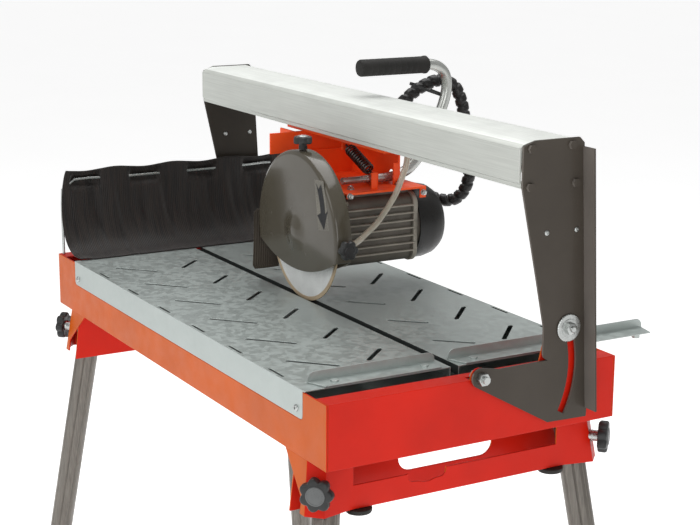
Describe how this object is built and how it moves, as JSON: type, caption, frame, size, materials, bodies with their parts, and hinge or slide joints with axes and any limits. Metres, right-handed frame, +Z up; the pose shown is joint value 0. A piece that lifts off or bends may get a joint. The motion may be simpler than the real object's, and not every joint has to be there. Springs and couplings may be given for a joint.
{
  "type": "tile cutter",
  "caption": "Bridge tile cutter: water box on splayed legs, slotted tables, tilting end plates with a rail, and a sliding, plunging motor head with a guarded diamond blade.",
  "frame": {"origin": "centre of the footprint on the floor", "axes": "+X along the rail toward the near end, +Y across toward the motor side, +Z up"},
  "size_m": [1.2154, 0.7396, 1.225],
  "materials": {
    "red_paint": "semi-gloss powder coat",
    "grey_paint": "fine textured powder coat",
    "guard_paint": "gloss enamel",
    "leg_paint": "satin anodised",
    "galvanised": "spangled zinc",
    "zinc_steel": "bright zinc plated",
    "blade_steel": "ground",
    "aluminium": "satin anodised",
    "motor_cast": "painted casting",
    "lamination": "laminations and copper winding",
    "rubber": "matt",
    "black_plastic": "moulded",
    "red_plastic": "moulded",
    "clear_hose": "clear flexible hose"
  },
  "bodies": {
    "box": {"left_side_panel": "red_paint", "right_side_panel": "red_paint", "near_end_panel": "red_paint", "far_end_panel": "red_paint", "near_leg_frame": "red_paint", "far_leg_frame": "red_paint", "water_tray": "galvanised", "drain_plug": "rubber", "left_table_plate": "galvanised", "right_table_plate": "galvanised", "left_fence": "galvanised", "right_fence": "galvanised", "curtain_hoop": "zinc_steel", "splash_curtain": "rubber", "near_pivot_bolt": "zinc_steel", "far_pivot_bolt": "zinc_steel", "near_left_leg": "leg_paint", "near_right_leg": "leg_paint", "far_left_leg": "leg_paint", "far_right_leg": "leg_paint", "near_left_foot": "rubber", "near_right_foot": "rubber", "far_left_foot": "rubber", "far_right_foot": "rubber"},
    "bridge": {"near_end_plate": "grey_paint", "far_end_plate": "grey_paint", "rail": "aluminium"},
    "carriage": {"carriage": "red_paint", "head_hinge_pin": "zinc_steel"},
    "near_rollers": {"near_roller_set": "zinc_steel"},
    "far_rollers": {"far_roller_set": "zinc_steel"},
    "head": {"head_arm": "red_paint", "lift_spring": "zinc_steel", "handle_tube": "zinc_steel", "handle_grip": "rubber", "motor_housing": "motor_cast", "stator": "lamination", "rear_end_shield": "motor_cast", "fan_cover": "black_plastic", "front_bearing": "zinc_steel", "rear_bearing": "zinc_steel", "blade_guard": "guard_paint", "splash_flap": "rubber", "water_hose": "clear_hose", "cable_conduit": "black_plastic", "switch_box": "black_plastic"},
    "spindle": {"rotor_shaft": "zinc_steel", "blade": "blade_steel", "outer_flange": "zinc_steel", "arbor_nut": "zinc_steel", "cooling_fan": "black_plastic"},
    "top_knob": {"guard_top_knob": "black_plastic"},
    "side_knob": {"guard_side_knob": "black_plastic"},
    "rocker": {"switch_rocker": "red_plastic"},
    "near_tilt_clamp": {"near_tilt_clamp": "zinc_steel"},
    "far_tilt_clamp": {"far_tilt_clamp": "zinc_steel"},
    "near_left_knob": {"near_left_clamp_knob": "black_plastic"},
    "near_right_knob": {"near_right_clamp_knob": "black_plastic"},
    "far_left_knob": {"far_left_clamp_knob": "black_plastic"},
    "far_right_knob": {"far_right_clamp_knob": "black_plastic"}
  },
  "joints": [
    {"name": "bridge_tilt", "type": "hinge", "parent": "box", "child": "bridge", "pos_m": [0, -0.03224, 0.8], "axis": [1, 0, 0], "range_deg": [0, 45]},
    {"name": "carriage_slide", "type": "slide", "parent": "bridge", "child": "carriage", "axis": [1, 0, 0], "range_m": [-0.3, 0.39]},
    {"name": "near_rollers_spin", "type": "hinge", "parent": "carriage", "child": "near_rollers", "pos_m": [0.109, 0.08676, 1.1074], "axis": [0, 1, 0], "range_deg": [-1080, 1440]},
    {"name": "far_rollers_spin", "type": "hinge", "parent": "carriage", "child": "far_rollers", "pos_m": [-0.176, 0.08676, 1.1074], "axis": [0, 1, 0], "range_deg": [-1080, 1440]},
    {"name": "head_plunge", "type": "hinge", "parent": "carriage", "child": "head", "pos_m": [-0.193, 0.08676, 1.046], "axis": [0, -1, 0], "range_deg": [0, 8], "deforming": ["lift_spring", "water_hose"]},
    {"name": "blade_spin", "type": "hinge", "parent": "head", "child": "spindle", "pos_m": [0, -0.03224, 0.921], "axis": [0, 1, 0], "continuous": true},
    {"name": "top_knob_turn", "type": "hinge", "parent": "head", "child": "top_knob", "pos_m": [0, -0.03524, 1.084], "axis": [0, 0, 1], "range_deg": [0, 360]},
    {"name": "side_knob_turn", "type": "hinge", "parent": "head", "child": "side_knob", "pos_m": [0.159, -0.03724, 0.92], "axis": [1, 0, 0], "range_deg": [0, 360]},
    {"name": "switch_rock", "type": "hinge", "parent": "head", "child": "rocker", "pos_m": [-0.127, 0.16876, 0.947], "axis": [0, 1, 0], "range_deg": [0, 16]},
    {"name": "near_tilt_clamp_turn", "type": "hinge", "parent": "box", "child": "near_tilt_clamp", "pos_m": [0.569, 0.12977, 0.85896], "axis": [1, 0, 0], "range_deg": [0, 360]},
    {"name": "far_tilt_clamp_turn", "type": "hinge", "parent": "box", "child": "far_tilt_clamp", "pos_m": [-0.569, 0.12977, 0.85896], "axis": [-1, 0, 0], "range_deg": [0, 360]},
    {"name": "near_left_knob_turn", "type": "hinge", "parent": "box", "child": "near_left_knob", "pos_m": [0.52317, -0.28915, 0.652], "axis": [0.7071, -0.7071, 0], "range_deg": [0, 360]},
    {"name": "near_right_knob_turn", "type": "hinge", "parent": "box", "child": "near_right_knob", "pos_m": [0.52317, 0.22468, 0.652], "axis": [0.7071, 0.7071, 0], "range_deg": [0, 360]},
    {"name": "far_left_knob_turn", "type": "hinge", "parent": "box", "child": "far_left_knob", "pos_m": [-0.52317, -0.28915, 0.652], "axis": [-0.7071, -0.7071, 0], "range_deg": [0, 360]},
    {"name": "far_right_knob_turn", "type": "hinge", "parent": "box", "child": "far_right_knob", "pos_m": [-0.52317, 0.22468, 0.652], "axis": [-0.7071, 0.7071, 0], "range_deg": [0, 360]}
  ],
  "couplings": [
    {"joint": "near_rollers_spin", "follows": "carriage_slide", "rad_per_m": 62.5},
    {"joint": "far_rollers_spin", "follows": "carriage_slide", "rad_per_m": 62.5}
  ]
}
